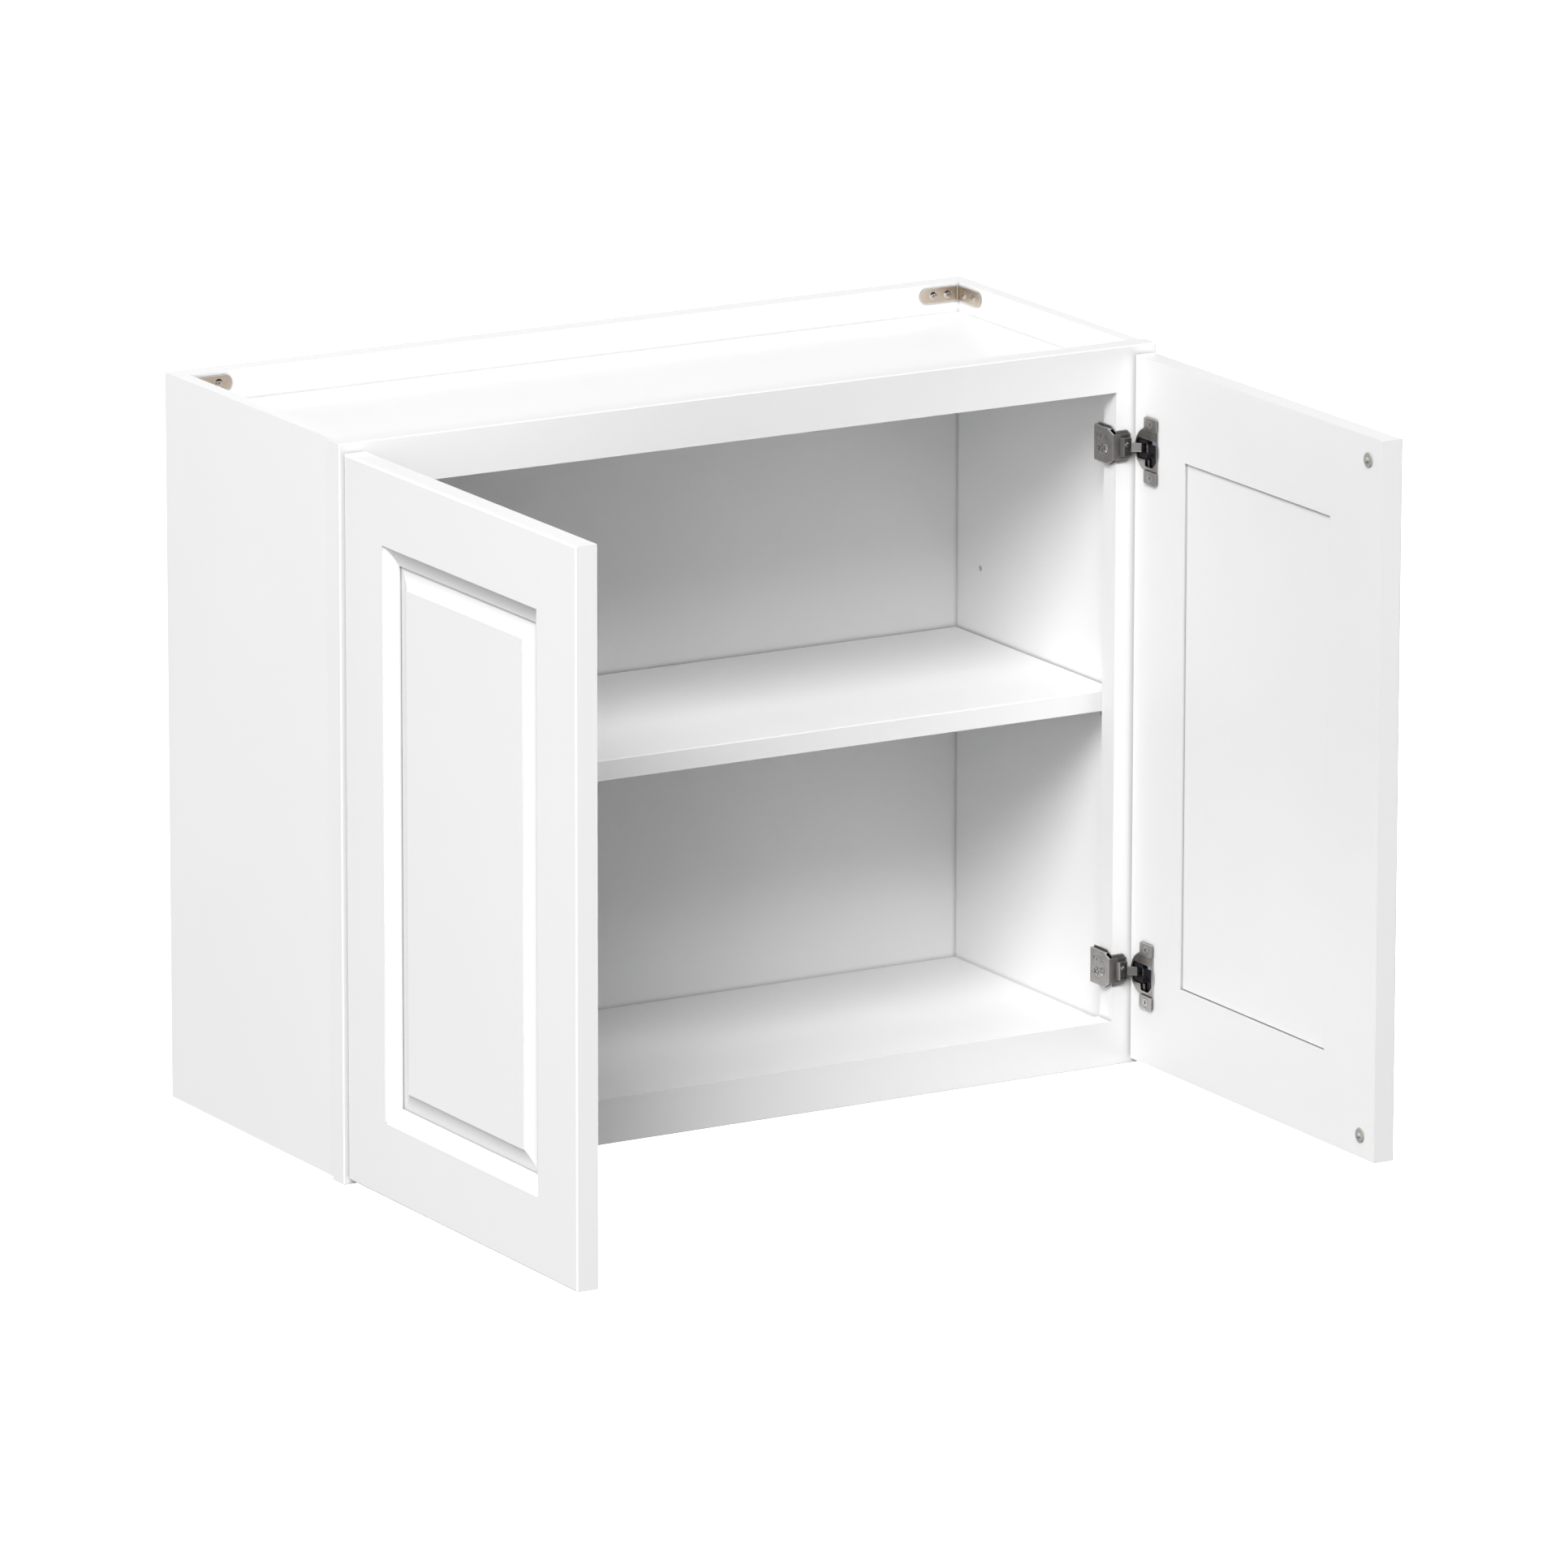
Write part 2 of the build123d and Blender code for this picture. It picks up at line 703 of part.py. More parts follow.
def fork(hinge_z):
    """Dark insert in the cup's floor: two lugs for the pin, a leg, and the switch's seat."""
    with BuildPart() as insert:
        with BuildSketch(door_face(hinge_z, insert_floor_top)):
            with Locations((mouth_end / 2, 0)):
                Rectangle(mouth_end, 2 * mouth_half_height)
        extrude(amount=-(cup_depth - cup_floor - insert_floor_top))
        for end in (-1, 1):
            foot = hinge_z + (lug_inner if end > 0 else -lug_outer)
            with BuildSketch(door_plan(foot)):
                with Locations((pivot_inset, pivot_depth)):
                    Circle(lug_reach)
                with Locations((lug_span / 2, 0)):
                    Rectangle(lug_span, 2 * (insert_floor_top + 0.5), mode=Mode.INTERSECT)
                with Locations((lug_span / 2, lug_top_depth / 2 - 5)):
                    Rectangle(lug_span, lug_top_depth + 10, mode=Mode.SUBTRACT)
            extrude(amount=lug_outer - lug_inner)
        low, high = leg_span
        block(
            (door_inner_x + insert_leg_depth, door_inner_x + insert_floor_top + 0.5),
            (hinge_edge_y - low, hinge_edge_y - high),
            (hinge_z - 13.8, hinge_z - 6.8),
        )
        switch_reach = switch_start + switch_length + switch_travel
        block(
            (door_inner_x + switch_bottom_depth + 0.3, door_inner_x + insert_floor_top + 0.5),
            (hinge_edge_y - switch_start + 0.5, hinge_edge_y - switch_reach - 0.5),
            (hinge_z + switch_bottom, hinge_z + switch_bottom + switch_height + 0.2),
        )
        with BuildSketch(door_face(hinge_z)):
            with Locations((cup_inset, 0)):
                Circle(insert_radius)
        extrude(amount=-cup_depth, mode=Mode.INTERSECT)
        # slot for the arm's knuckle, and the pin's bore
        block(
            (door_inner_x, door_outer_x),
            (hinge_edge_y, hinge_edge_y - lug_span),
            (hinge_z - lug_inner, hinge_z + lug_inner),
            mode=Mode.SUBTRACT,
        )
        with BuildSketch(door_plan(hinge_z - pin_half_length)):
            with Locations((pivot_inset, pivot_depth)):
                Circle(pin_radius + running_clearance)
        extrude(amount=2 * pin_half_length, mode=Mode.SUBTRACT)
    return insert


for side_name, side in sides.items():
    for level, hinge_z in hinge_heights.items():
        shell = cup(hinge_z)
        with BuildPart() as hinge_cup:
            add(shell.part)
            to_side(side)
        keep(hinge_cup, f"{side_name}_{level}_hinge_cup")

        with BuildPart() as damper:
            # stem between the lugs and a wider head beyond them
            stem_x = (door_inner_x + slider_top, door_inner_x + slider_bottom)
            head_start = slider_start + slider_stem
            block(
                stem_x,
                (hinge_edge_y - slider_start, hinge_edge_y - head_start),
                (hinge_z - slider_stem_half, hinge_z + slider_stem_half),
            )
            block(
                stem_x,
                (hinge_edge_y - head_start, hinge_edge_y - head_start - slider_head),
                (hinge_z - slider_head_down, hinge_z + slider_head_up),
            )
            fillet(damper.edges().filter_by(Axis.X).group_by(Axis.Y)[0], radius=0.6)
            to_side(side)
        keep(damper, f"{side_name}_{level}_hinge_damper")

        with BuildPart() as switch:
            block(
                (door_inner_x + switch_top_depth, door_inner_x + switch_bottom_depth),
                (hinge_edge_y - switch_start, hinge_edge_y - switch_start - switch_length),
                (hinge_z + switch_bottom, hinge_z + switch_bottom + switch_height),
            )
            fillet(switch.edges().filter_by(Axis.X), radius=0.8)
            to_side(side)
        keep(switch, f"{side_name}_{level}_soft_close_switch")

        with BuildPart() as base:
            # side leg on the stile's edge and a wrap round its front corner
            with BuildSketch(stile_face(hinge_z)):
                leg_outline(base_sheet, base_length, base_front_half_height, base_half_height)
            extrude(amount=-base_sheet)
            block(
                (stile_edge_x - base_sheet, stile_edge_x + base_front_reach),
                (frame_front_y - base_sheet, frame_front_y),
                (hinge_z - base_wrap_half_height, hinge_z + base_wrap_half_height),
            )
            fillet(base.edges().filter_by(Axis.Y).group_by(Axis.X)[-1], radius=3.0)
            with Locations(stile_face(hinge_z, base_sheet)):
                with Locations([(base_screw_setback, height) for height in base_screw_heights]):
                    Cylinder(1.75, 4, mode=Mode.SUBTRACT)
            to_side(side)
        keep(base, f"{side_name}_{level}_hinge_base")

        with BuildPart() as arm:
            # side leg, hugging the base with its folded edges
            with BuildSketch(stile_face(hinge_z, arm_offset)):
                leg_outline(arm_front_face, arm_length, arm_front_half_height, arm_half_height)
            extrude(amount=-arm_sheet)
            with BuildSketch(stile_face(hinge_z, base_sheet)):
                leg_outline(arm_front_face, arm_length, arm_front_half_height, arm_half_height)
                with Locations((arm_length / 2, 0)):
                    Rectangle(2 * arm_length, 2 * (arm_half_height - arm_sheet), mode=Mode.SUBTRACT)
            extrude(amount=-(arm_offset - base_sheet))
            # front leg
            block(
                (stile_edge_x - arm_offset, stile_edge_x + arm_front_reach),
                (frame_front_y - arm_front_face, frame_front_y - arm_front_face + arm_sheet),
                (hinge_z - arm_front_half_height, hinge_z + arm_front_half_height),
            )
            # boss and neck in plan
            with BuildSketch(frame_plan(hinge_z - boss_half_height)):
                Polygon(
                    (boss_start, -arm_front_face),
                    (boss_start + 1.6, -boss_face),
                    (boss_end, -boss_face),
                    (boss_end, -arm_front_face),
                    align=None,
                )
            extrude(amount=2 * boss_half_height)
            with BuildSketch(frame_plan(hinge_z - knuckle_half_height)):
                with BuildLine():
                    Line((boss_end - 1.0, -boss_face + 1.0), (neck_knee, -neck_drop))
                    Line((neck_knee, -neck_drop), (pivot_x - stile_edge_x, -neck_drop))
                trace(line_width=neck_thickness)
                with Locations((neck_knee, -neck_drop)):
                    Circle(neck_thickness / 2)
                with Locations((pivot_x - stile_edge_x, pivot_y - frame_front_y)):
                    Circle(knuckle_radius)
            extrude(amount=2 * knuckle_half_height)
            with BuildSketch(frame_plan(hinge_z - knuckle_half_height)):
                with Locations((pivot_x - stile_edge_x, pivot_y - frame_front_y)):
                    Circle(pin_radius + running_clearance)
            extrude(amount=2 * knuckle_half_height, mode=Mode.SUBTRACT)
            # stamped ring, slots and pip on the side leg, with the holes for the cam and the lock screw
            side_leg = stile_face(hinge_z, arm_offset + arm_sheet)
            with BuildSketch(side_leg):
                with Locations(ring_place):
                    Circle(ring_radius)
                    Circle(ring_radius - ring_groove[0], mode=Mode.SUBTRACT)
            extrude(amount=ring_groove[1], mode=Mode.SUBTRACT)
            with BuildSketch(side_leg):
                with Locations(*hook_slots):
                    SlotOverall(*slot_size, rotation=70)
                with Locations(pip_place):
                    Circle(slot_size[1] / 2)
            extrude(amount=arm_sheet + 0.2, mode=Mode.SUBTRACT)
            with Locations(side_leg):
                with Locations(cam_place):
                    Cylinder(cam_radius + 0.1, 8, mode=Mode.SUBTRACT)
                with Locations(lock_screw_place):
                    Cylinder(1.6, 8, mode=Mode.SUBTRACT)
            # sunk panel on the boss
            panel_x = (stile_edge_x + boss_panel[0], stile_edge_x + boss_panel[1])
            block(
                panel_x,
                (frame_front_y - boss_face - 1, frame_front_y - boss_face + boss_panel_depth),
                (hinge_z + boss_panel[2], hinge_z + boss_panel[3]),
                mode=Mode.SUBTRACT,
            )
            with BuildSketch(boss_front(hinge_z)):
                with Locations(boss_screw_place):
                    Circle(1.6)
            extrude(amount=-(boss_face - arm_front_face + arm_sheet), mode=Mode.SUBTRACT)
            to_side(side)
        keep(arm, f"{side_name}_{level}_hinge_arm")

for side_name, side in sides.items():
    inserts = [fork(hinge_z).part for hinge_z in hinge_heights.values()]
    with BuildPart() as forks:
        add(inserts)
        to_side(side)
    keep(forks, f"{side_name}_door_hinge_forks")

    with BuildPart() as pins:
        for hinge_z in hinge_heights.values():
            with BuildSketch(door_plan(hinge_z - pin_half_length)):
                with Locations((pivot_inset, pivot_depth)):
                    Circle(pin_radius)
            extrude(amount=2 * pin_half_length)
        to_side(side)
    keep(pins, f"{side_name}_door_hinge_pins")

    cup_screws = []
    for hinge_z in hinge_heights.values():
        for end in (-1, 1):
            surface = door_face(hinge_z + end * cup_screw_spacing / 2, -tab_height)
            plane = Plane(origin=surface.from_local_coords((cup_screw_inset, 0, 0)), z_dir=(-1, 0, 0))
            cup_screws.append(screw_on(side, plane, cup_screw_head, 0.0, 1.6, 14.0, 1.7))
    keep_group(cup_screws, f"{side_name}_door_cup_screws")

base_screws = []
cams = []
lock_screws = []
boss_screws = []
for side in sides.values():
    for hinge_z in hinge_heights.values():
        for height in base_screw_heights:
            plane = Plane(
                origin=(stile_edge_x - base_sheet, frame_front_y + base_screw_setback, hinge_z + height),
                z_dir=(-1, 0, 0),
            )
            base_screws.append(screw_on(side, plane, 3.0, 0.8, 1.6, 14.0))
        plane = Plane(
            origin=(
                stile_edge_x - arm_offset - arm_sheet,
                frame_front_y + lock_screw_place[0],
                hinge_z + lock_screw_place[1],
            ),
            z_dir=(-1, 0, 0),
        )
        lock_screws.append(screw_on(side, plane, 3.5, 1.0, 1.5, 3.0))
        plane = Plane(
            origin=(
                stile_edge_x + boss_screw_place[0],
                frame_front_y - boss_face + boss_panel_depth,
                hinge_z + boss_screw_place[1],
            ),
            z_dir=(0, -1, 0),
        )
        boss_screws.append(screw_on(side, plane, 2.3, 1.4, 1.5, 4.0))
        with BuildPart() as cam:
            # round adjuster with a cross slot, seated on the base plate
            with BuildSketch(stile_face(hinge_z, base_sheet)):
                with Locations(cam_place):
                    Circle(cam_radius)
            extrude(amount=-(arm_offset + arm_sheet - base_sheet + 0.5))
            fillet(cam.faces().sort_by(Axis.X)[0].edges(), radius=0.4)
            with BuildSketch(stile_face(hinge_z, arm_offset + arm_sheet + 0.5)):
                with Locations(cam_place):
                    Rectangle(6.0, 1.1, rotation=45)
                    Rectangle(6.0, 1.1, rotation=-45)
            extrude(amount=1.2, mode=Mode.SUBTRACT)
            to_side(side)
        cams.append(cam.part)

keep_group(bracket_screws, "bracket_screws")
keep_group(base_screws, "hinge_base_screws")
keep_group(lock_screws, "hinge_lock_screws")
keep_group(boss_screws, "hinge_boss_screws")
keep_group(cams, "hinge_adjusting_cams")
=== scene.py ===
import math

import bpy
from mathutils import Matrix, Vector


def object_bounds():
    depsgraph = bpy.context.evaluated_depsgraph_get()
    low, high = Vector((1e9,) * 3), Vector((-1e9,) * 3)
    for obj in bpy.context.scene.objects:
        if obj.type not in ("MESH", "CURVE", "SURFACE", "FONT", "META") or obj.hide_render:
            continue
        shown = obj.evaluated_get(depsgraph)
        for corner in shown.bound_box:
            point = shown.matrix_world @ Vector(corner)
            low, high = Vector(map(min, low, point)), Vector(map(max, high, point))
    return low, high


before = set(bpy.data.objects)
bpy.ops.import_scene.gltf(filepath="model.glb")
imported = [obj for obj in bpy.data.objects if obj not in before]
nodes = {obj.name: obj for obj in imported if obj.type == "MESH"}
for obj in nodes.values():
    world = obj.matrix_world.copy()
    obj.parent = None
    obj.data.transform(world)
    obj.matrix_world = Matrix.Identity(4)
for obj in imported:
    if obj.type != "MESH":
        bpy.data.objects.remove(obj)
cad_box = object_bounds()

# distances in metres
PAINTED_SHADE_REACH = 0.0045  # how far from an inner corner the painted shade reaches
HIGHLIGHT_AND_WEAR_REACH = 0.0006  # how far from an outer edge the plating is painted brighter, as painted highlight and rubbed wear
BOARD_EASE = 0.0005  # edge radius of the painted boards
SHEET_EASE = 0.00018  # edge radius of the hinges' sheet metal

# sizes of the noises, in cycles per metre
WOOD_GRAIN = 420
ORANGE_PEEL = 900
PAINT_CLOUD = 5
ROLLED_STREAKS = 900
PLATING_CLOUD = 90
MOULD_GRIT = 3000
MOULD_CLOUD = 120
ALONG_GRAIN = 0.06  # the grain's noise is this much coarser along the board

# angles between two faces, in degrees
CONVEX_ANGLE = 35
SHARP_ANGLE = 14
FLAT_ANGLE = 0.5

OCCLUSION_SAMPLES = 8


# ------------------------------------------------------------------ materials
def new_material(name):
    """A node material with a Principled shader: (material, nodes, links, shader)."""
    mat = bpy.data.materials.new(name)
    mat.use_nodes = True
    tree = mat.node_tree
    shader = tree.nodes["Principled BSDF"]
    return mat, tree.nodes, tree.links, shader


def noise(tree_nodes, links, scale, detail, stretch=(1, 1, 1), distortion=0.0):
    """Noise in object space, in metres; scale is in cycles per metre."""
    place = tree_nodes.new("ShaderNodeTexCoord")
    mapping = tree_nodes.new("ShaderNodeMapping")
    mapping.inputs["Scale"].default_value = stretch
    texture = tree_nodes.new("ShaderNodeTexNoise")
    texture.inputs["Scale"].default_value = scale
    texture.inputs["Detail"].default_value = detail
    texture.inputs["Distortion"].default_value = distortion
    links.new(place.outputs["Object"], mapping.inputs["Vector"])
    links.new(mapping.outputs["Vector"], texture.inputs["Vector"])
    return texture.outputs["Fac"]


def ramp(tree_nodes, links, source, low, high, low_at=0.3, high_at=0.7):
    """Colour ramp between two colours."""
    node = tree_nodes.new("ShaderNodeValToRGB")
    first, last = node.color_ramp.elements
    first.position, last.position = low_at, high_at
    first.color, last.color = (*low, 1), (*high, 1)
    links.new(source, node.inputs["Fac"])
    return node.outputs["Color"]


def spread(tree_nodes, links, source, low, high):
    """Map 0..1 to low..high."""
    node = tree_nodes.new("ShaderNodeMapRange")
    node.inputs["To Min"].default_value = low
    node.inputs["To Max"].default_value = high
    links.new(source, node.inputs["Value"])
    return node.outputs["Result"]


def bump(tree_nodes, links, shader, heights):
    """Chain bump nodes from (height source, strength, distance) triples."""
    normal = None
    for source, strength, distance in heights:
        node = tree_nodes.new("ShaderNodeBump")
        node.inputs["Strength"].default_value = strength
        node.inputs["Distance"].default_value = distance
        links.new(source, node.inputs["Height"])
        if normal is not None:
            links.new(normal, node.inputs["Normal"])
        normal = node.outputs["Normal"]
    links.new(normal, shader.inputs["Normal"])


def painted_crevice_shade(tree_nodes, links, colour, corner_shade, unshaded_at):
    """Painted shade: darken a colour where surfaces close in on each other, as ambient occlusion does."""
    shade = tree_nodes.new("ShaderNodeAmbientOcclusion")
    shade.samples = OCCLUSION_SAMPLES
    shade.inputs["Distance"].default_value = PAINTED_SHADE_REACH
    shaded, unshaded = (corner_shade,) * 3, (1, 1, 1)
    shade_ramp = ramp(tree_nodes, links, shade.outputs["AO"], shaded, unshaded, low_at=0.25, high_at=unshaded_at)
    product = tree_nodes.new("ShaderNodeVectorMath")
    product.operation = "MULTIPLY"
    links.new(colour, product.inputs[0])
    links.new(shade_ramp, product.inputs[1])
    return product.outputs["Vector"]


def painted_wood(name, colour, grain_axis, roughness=0.42, corner_shade=0.42):
    """Satin white paint over sanded wood: faint grain, orange peel, slight tone variation, painted shade
    in corners and recesses.
    """
    mat, tree_nodes, links, shader = new_material(name)
    stretch = [1.0, 1.0, 1.0]
    stretch[grain_axis] = ALONG_GRAIN
    grain = noise(tree_nodes, links, WOOD_GRAIN, 3, stretch, distortion=0.4)
    peel = noise(tree_nodes, links, ORANGE_PEEL, 2)
    cloud = noise(tree_nodes, links, PAINT_CLOUD, 2)
    darker = tuple(c * 0.985 for c in colour)
    tone = ramp(tree_nodes, links, cloud, darker, colour)
    # painted shade: the paint is darker in corners, creases and recesses
    tone = painted_crevice_shade(tree_nodes, links, tone, corner_shade, unshaded_at=0.92)
    links.new(tone, shader.inputs["Base Color"])
    rough = spread(tree_nodes, links, peel, roughness - 0.04, roughness + 0.05)
    links.new(rough, shader.inputs["Roughness"])
    bump(tree_nodes, links, shader, [(grain, 0.10, 0.00012), (peel, 0.12, 0.00006)])
    shader.inputs["Specular IOR Level"].default_value = 0.4
    return mat


# one paint for each direction the grain can run in
WHITE = (0.86, 0.86, 0.86)
paint = [painted_wood(f"white_paint_{letter}", WHITE, axis) for axis, letter in enumerate("xyz")]
# the carcass gets a softer painted shade in its corners than the frame and doors
carcass = [
    painted_wood(f"carcass_white_{letter}", WHITE, axis, roughness=0.5, corner_shade=0.6)
    for axis, letter in enumerate("xyz")
]


def highlight_and_wear_mask(tree_nodes, links):
    """Mask for the painted highlight and wear: 0 on faces and 1 along outer edges, found by how thin the
    solid is there.
    """
    inner = tree_nodes.new("ShaderNodeAmbientOcclusion")
    inner.samples = OCCLUSION_SAMPLES
    inner.inside = True
    inner.only_local = True
    inner.inputs["Distance"].default_value = HIGHLIGHT_AND_WEAR_REACH
    edge = tree_nodes.new("ShaderNodeMapRange")
    edge.inputs["From Min"].default_value = 0.95
    edge.inputs["From Max"].default_value = 0.6
    links.new(inner.outputs["AO"], edge.inputs["Value"])
    return edge.outputs["Result"]


# socket numbers of the vector sides of a Mix node
MIX_FACTOR, MIX_VECTOR_A, MIX_VECTOR_B, MIX_VECTOR_OUT = 0, 4, 5, 1


def brushed_metal(name, colour, roughness, scale=ROLLED_STREAKS, stretch=(1, 1, 1), corner_shade=0.10, highlight_and_wear_tone=0.9):
    """Nickel-plated sheet: rolled streaks, fine dimples, painted shade in crevices and a painted
    highlight along edges, partly rubbed wear.
    """
    mat, tree_nodes, links, shader = new_material(name)
    streaks = noise(tree_nodes, links, scale, 3, stretch)
    cloud = noise(tree_nodes, links, PLATING_CLOUD, 3)
    darker = tuple(c * 0.82 for c in colour)
    tone = ramp(tree_nodes, links, cloud, darker, colour)
    # painted shade: the plating is darker in its crevices
    tone = painted_crevice_shade(tree_nodes, links, tone, corner_shade, unshaded_at=0.95)
    # painted highlight: the plating is lighter along its outer edges, partly standing for rubbed wear
    highlight_and_wear = tree_nodes.new("ShaderNodeMix")
    highlight_and_wear.data_type = "VECTOR"
    highlight_and_wear.inputs[MIX_VECTOR_B].default_value = (highlight_and_wear_tone, highlight_and_wear_tone, highlight_and_wear_tone)
    links.new(highlight_and_wear_mask(tree_nodes, links), highlight_and_wear.inputs[MIX_FACTOR])
    links.new(tone, highlight_and_wear.inputs[MIX_VECTOR_A])
    links.new(highlight_and_wear.outputs[MIX_VECTOR_OUT], shader.inputs["Base Color"])
    rough = spread(tree_nodes, links, streaks, roughness - 0.07, roughness + 0.08)
    links.new(rough, shader.inputs["Roughness"])
    bump(tree_nodes, links, shader, [(streaks, 0.12, 0.00005)])
    shader.inputs["Metallic"].default_value = 1.0
    return mat


nickel = brushed_metal("hinge_nickel", (0.56, 0.535, 0.515), 0.34, stretch=(1, 1, 0.15))
warm_nickel = brushed_metal("bracket_nickel", (0.64, 0.545, 0.45), 0.32, scale=700, stretch=(0.2, 0.2, 1))
zinc = brushed_metal("support_zinc", (0.62, 0.61, 0.60), 0.35)


def moulded(name, colour, roughness, **extra):
    """Moulded plastic: fine spark texture and tone variation."""
    mat, tree_nodes, links, shader = new_material(name)
    grit = noise(tree_nodes, links, MOULD_GRIT, 2)
    cloud = noise(tree_nodes, links, MOULD_CLOUD, 2)
    lighter = tuple(min(1.0, c * 1.25 + 0.004) for c in colour)
    links.new(ramp(tree_nodes, links, cloud, colour, lighter), shader.inputs["Base Color"])
    rough = spread(tree_nodes, links, grit, roughness - 0.06, roughness + 0.08)
    links.new(rough, shader.inputs["Roughness"])
    bump(tree_nodes, links, shader, [(grit, 0.2, 0.00003)])
    for socket, value in extra.items():
        shader.inputs[socket.replace("_", " ")].default_value = value
    return mat


black_plastic = moulded("black_plastic", (0.012, 0.012, 0.014), 0.38)
switch_plastic = moulded("switch_plastic", (0.55, 0.63, 0.74), 0.3)
bumper_plastic = moulded("bumper_clear", (0.46, 0.45, 0.42), 0.2, Transmission_Weight=0.3)


def paint_node(name, material):
    """Give a CAD node its material."""
    mesh = nodes[name].data
    mesh.materials.clear()
    mesh.materials.append(material)


X_GRAIN, Y_GRAIN, Z_GRAIN = range(3)
for name in nodes:
    if name.endswith("side_panel") or name == "back_panel":
        paint_node(name, carcass[Z_GRAIN])
    elif name in ("top_panel", "bottom_panel", "shelf") or name.endswith("hanging_rail"):
        paint_node(name, carcass[X_GRAIN])
    elif name.endswith(("stile", "door_panel")):
        paint_node(name, paint[Z_GRAIN])
    elif name.endswith("face_rail"):
        paint_node(name, paint[X_GRAIN])
    elif name.endswith(("top_rail", "bottom_rail")):
        paint_node(name, paint[Y_GRAIN])
    elif name == "bracket_screws" or name.endswith("corner_bracket"):
        paint_node(name, warm_nickel)
    elif name == "shelf_supports":
        paint_node(name, zinc)
    elif name.endswith("bumpers"):
        paint_node(name, bumper_plastic)
    elif name.endswith(("forks", "damper")):
        paint_node(name, black_plastic)
    elif name.endswith("soft_close_switch"):
        paint_node(name, switch_plastic)
    else:
        paint_node(name, nickel)


# ------------------------------------------------------------------ eased edges
def edge_group(name, threshold, signed, finish):
    """Geometry-node group that hands the edges whose angle is over a threshold to finish."""
    group = bpy.data.node_groups.new(name, "GeometryNodeTree")
    group.interface.new_socket("Geometry", in_out="INPUT", socket_type="NodeSocketGeometry")
    group.interface.new_socket("Geometry", in_out="OUTPUT", socket_type="NodeSocketGeometry")
    source = group.nodes.new("NodeGroupInput")
    target = group.nodes.new("NodeGroupOutput")
    angle = group.nodes.new("GeometryNodeInputMeshEdgeAngle")
    compare = group.nodes.new("FunctionNodeCompare")
    compare.data_type = "FLOAT"
    compare.operation = "GREATER_THAN"
    compare.inputs["B"].default_value = math.radians(threshold)
    group.links.new(angle.outputs["Signed Angle" if signed else "Unsigned Angle"], compare.inputs["A"])
    finish(group, source.outputs["Geometry"], compare.outputs["Result"], target.inputs["Geometry"])
    return group


def weigh_convex(group, geometry, selected, result):
    """Write bevel weights on the selected edges."""
    store = group.nodes.new("GeometryNodeStoreNamedAttribute")
    store.data_type = "FLOAT"
    store.domain = "EDGE"
    store.inputs["Name"].default_value = "bevel_weight_edge"
    store.inputs["Value"].default_value = 1.0
    group.links.new(geometry, store.inputs["Geometry"])
    group.links.new(selected, store.inputs["Selection"])
    group.links.new(store.outputs["Geometry"], result)


def crisp_edges(group, geometry, selected, result):
    """Smooth faces, with the selected edges left sharp."""
    faces = group.nodes.new("GeometryNodeSetShadeSmooth")
    faces.domain = "FACE"
    faces.inputs["Shade Smooth"].default_value = True
    edges = group.nodes.new("GeometryNodeSetShadeSmooth")
    edges.domain = "EDGE"
    edges.inputs["Shade Smooth"].default_value = False
    group.links.new(geometry, faces.inputs["Geometry"])
    group.links.new(faces.outputs["Geometry"], edges.inputs["Geometry"])
    group.links.new(selected, edges.inputs["Selection"])
    group.links.new(edges.outputs["Geometry"], result)


convex_edges = edge_group("weigh_convex_edges", CONVEX_ANGLE, True, weigh_convex)
sharp_edges = edge_group("crisp_edges", SHARP_ANGLE, False, crisp_edges)


def ease_edges(node, width, segments=2):
    """Round a CAD node's outer edges a little, as sanded and painted wood or rolled sheet has them."""
    flat = node.modifiers.new("flat_faces", "DECIMATE")
    flat.decimate_type = "DISSOLVE"
    flat.angle_limit = math.radians(FLAT_ANGLE)
    node.modifiers.new("convex", "NODES").node_group = convex_edges
    bevel = node.modifiers.new("eased_edges", "BEVEL")
    bevel.width = width
    bevel.segments = segments
    bevel.limit_method = "WEIGHT"
    node.modifiers.new("crisp", "NODES").node_group = sharp_edges


for name in nodes:
    if name.endswith(("panel", "stile", "rail")) or name == "shelf":
        ease_edges(nodes[name], BOARD_EASE)
    elif name.endswith(("hinge_arm", "hinge_cup", "hinge_base", "corner_bracket")):
        ease_edges(nodes[name], SHEET_EASE, segments=1)

# ------------------------------------------------------------------ camera
YAW, PITCH, ROLL = (math.radians(a) for a in (30.36, -14.18, 0.09))
CAMERA_PLACE = (-5.25958, -9.33140, 2.36515)
CAMERA_LENS = 304.74
CAMERA_SENSOR = 36
CAMERA_CLIP = 200
forward = Vector((math.sin(YAW) * math.cos(PITCH), math.cos(YAW) * math.cos(PITCH), math.sin(PITCH)))
level_right = Vector((math.cos(YAW), -math.sin(YAW), 0))
level_up = level_right.cross(forward)
right = level_right * math.cos(ROLL) + level_up * math.sin(ROLL)
up = level_up * math.cos(ROLL) - level_right * math.sin(ROLL)
camera_data = bpy.data.cameras.new("camera")
camera_data.sensor_width = CAMERA_SENSOR
camera_data.lens = CAMERA_LENS
camera_data.clip_end = CAMERA_CLIP
camera = bpy.data.objects.new("camera", camera_data)
bpy.context.scene.collection.objects.link(camera)
rotation = Matrix((right, up, -forward)).transposed()
camera.matrix_world = Matrix.Translation(CAMERA_PLACE) @ rotation.to_4x4()
bpy.context.scene.camera = camera

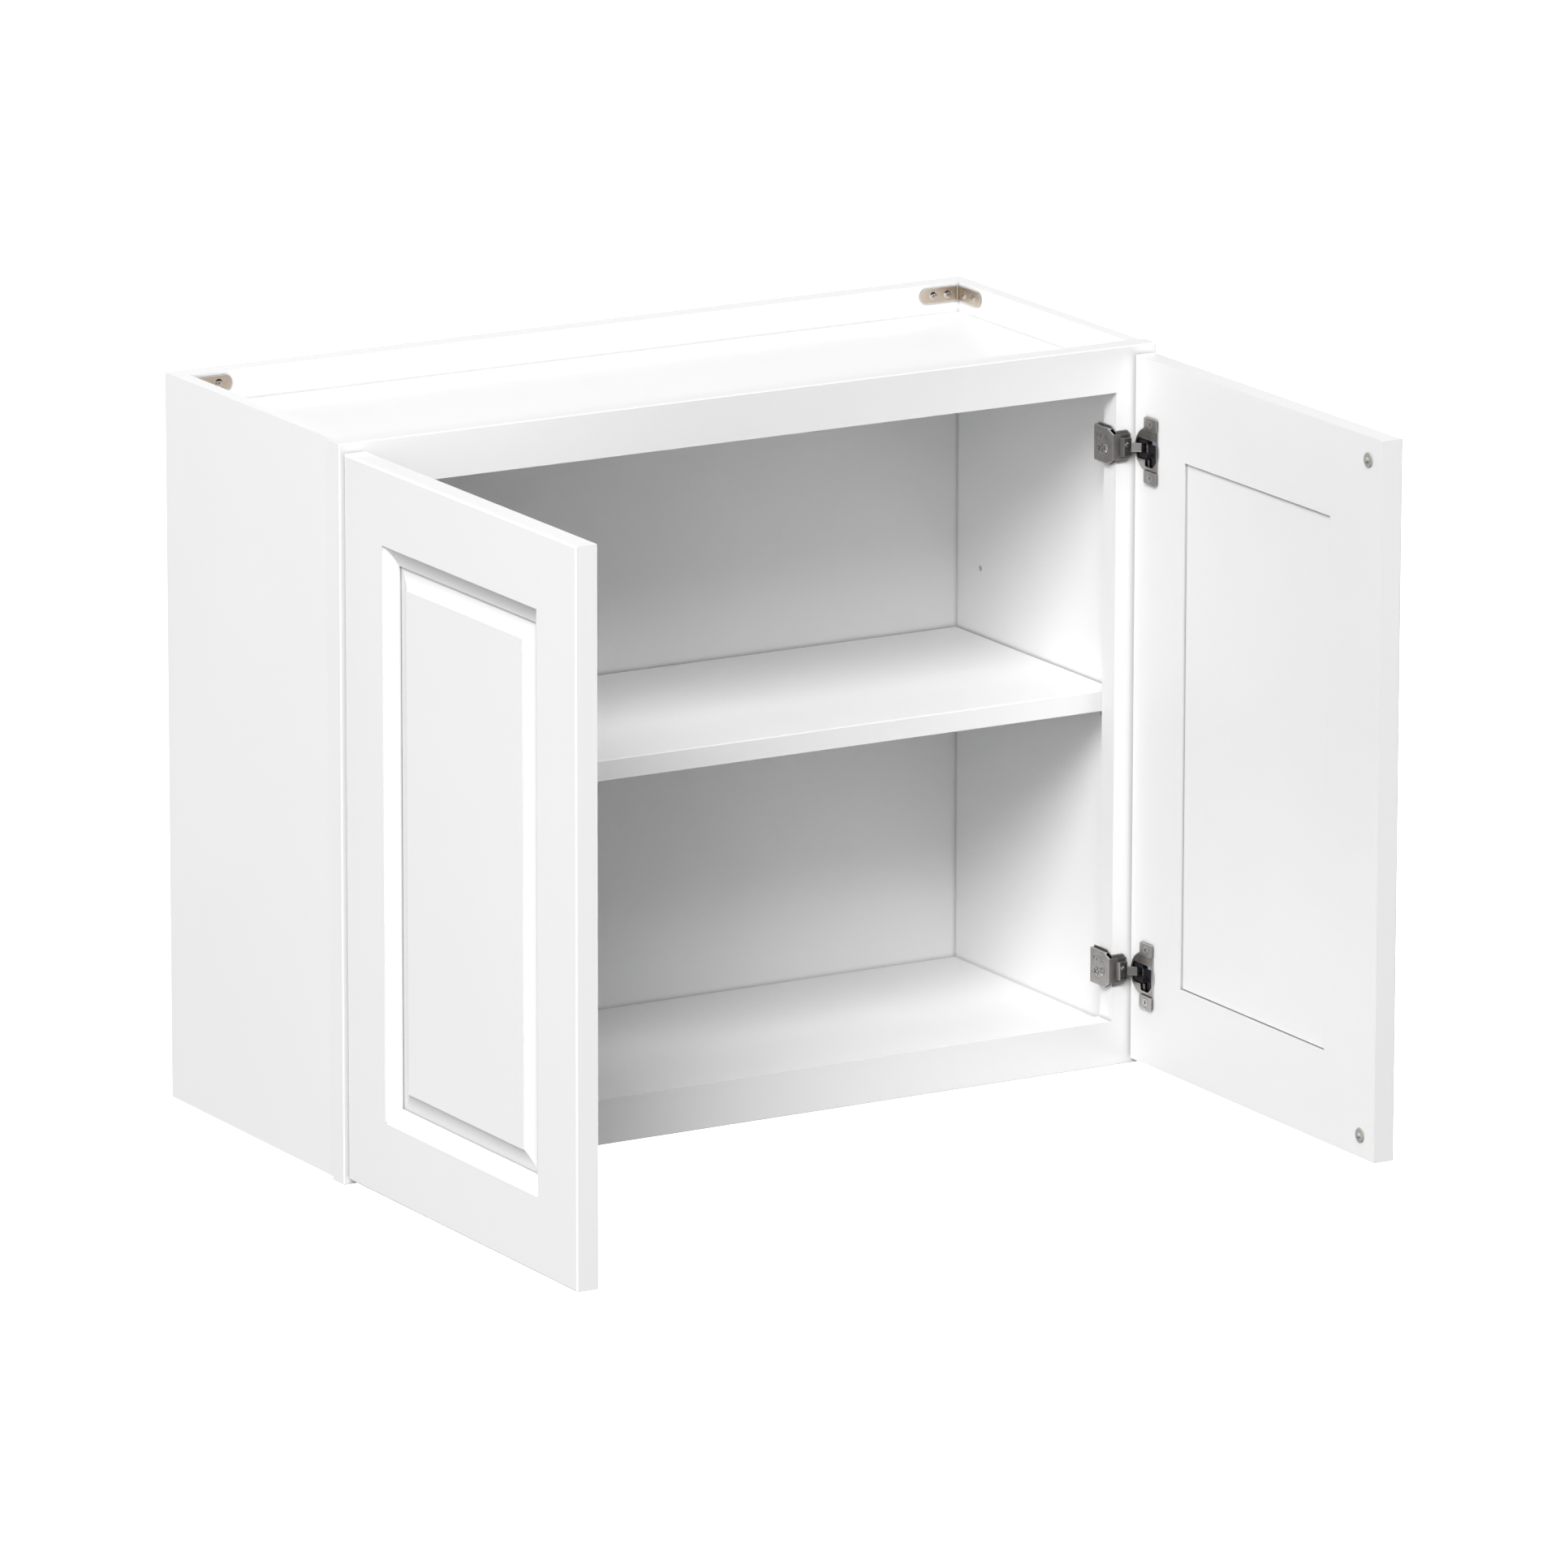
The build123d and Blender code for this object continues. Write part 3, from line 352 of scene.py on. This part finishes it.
# ------------------------------------------------------------------ stage and light
HANGING_HEIGHT = 1.372  # from the floor to the underside
FLOOR_REACH = 60
FLOOR_WHITE = 0.93
floor_z = cad_box[0][2] - HANGING_HEIGHT
floor_corners = [(-1, -1), (1, -1), (1, 1), (-1, 1)]
floor_mesh = bpy.data.meshes.new("floor")
floor_mesh.from_pydata(
    [(x * FLOOR_REACH, y * FLOOR_REACH, floor_z) for x, y in floor_corners], [], [(0, 1, 2, 3)]
)
floor = bpy.data.objects.new("floor", floor_mesh)
bpy.context.scene.collection.objects.link(floor)
floor_mat, _, _, floor_shader = new_material("floor_white")
floor_shader.inputs["Base Color"].default_value = (FLOOR_WHITE, FLOOR_WHITE, FLOOR_WHITE, 1)
floor_shader.inputs["Roughness"].default_value = 0.9
floor_shader.inputs["Specular IOR Level"].default_value = 0.0
floor_shader.inputs["Emission Color"].default_value = (1, 1, 1, 1)
floor_shader.inputs["Emission Strength"].default_value = 1.0
floor_mesh.materials.append(floor_mat)
# the floor and the backdrop stay evenly white without lighting the cabinet or showing in its metal
floor.visible_diffuse = False
floor.visible_glossy = False
floor.visible_shadow = False

world = bpy.data.worlds.new("studio")
bpy.context.scene.world = world
world.use_nodes = True
background = world.node_tree.nodes["Background"]
background.inputs["Color"].default_value = (1, 1, 1, 1)
background.inputs["Strength"].default_value = 1.0
world.cycles_visibility.diffuse = False
world.cycles_visibility.glossy = False
bpy.context.scene.view_settings.view_transform = "Standard"

# round softboxes about the cabinet:
# angle from straight ahead (positive to the right), elevation, watts
SOFTBOXES = {
    "key": (-40, 42, 1775),
    "front_left": (-48, 10, 370),
    "left_low": (-100, -15, 340),
    "left_high": (-100, 42, 182),
    "right_low": (60, -15, 532),
    "right_rim": (130, 42, 250),
    "overhead": (0, 88, 200),
    "rear": (180, 8, 900),
}
# these two would burn out the metal faces turned to them
UNREFLECTED = ("key", "right_low")
SOFTBOX_SIZE = 6.4
SOFTBOX_DISTANCE = 12.0
LIT_POINT = Vector((0, -0.30, -0.25))  # about the middle of the open cabinet
for light_name, (turn, rise, watts) in SOFTBOXES.items():
    turn, rise = math.radians(turn), math.radians(rise)
    toward = Vector((math.sin(turn) * math.cos(rise), -math.cos(turn) * math.cos(rise), math.sin(rise)))
    lamp = bpy.data.lights.new(light_name, "AREA")
    lamp.shape = "DISK"
    lamp.size = SOFTBOX_SIZE
    lamp.energy = watts
    softbox = bpy.data.objects.new(light_name, lamp)
    softbox.visible_glossy = light_name not in UNREFLECTED
    softbox.location = LIT_POINT + toward * SOFTBOX_DISTANCE
    softbox.rotation_euler = (-toward).to_track_quat("-Z", "Y").to_euler()
    bpy.context.scene.collection.objects.link(softbox)
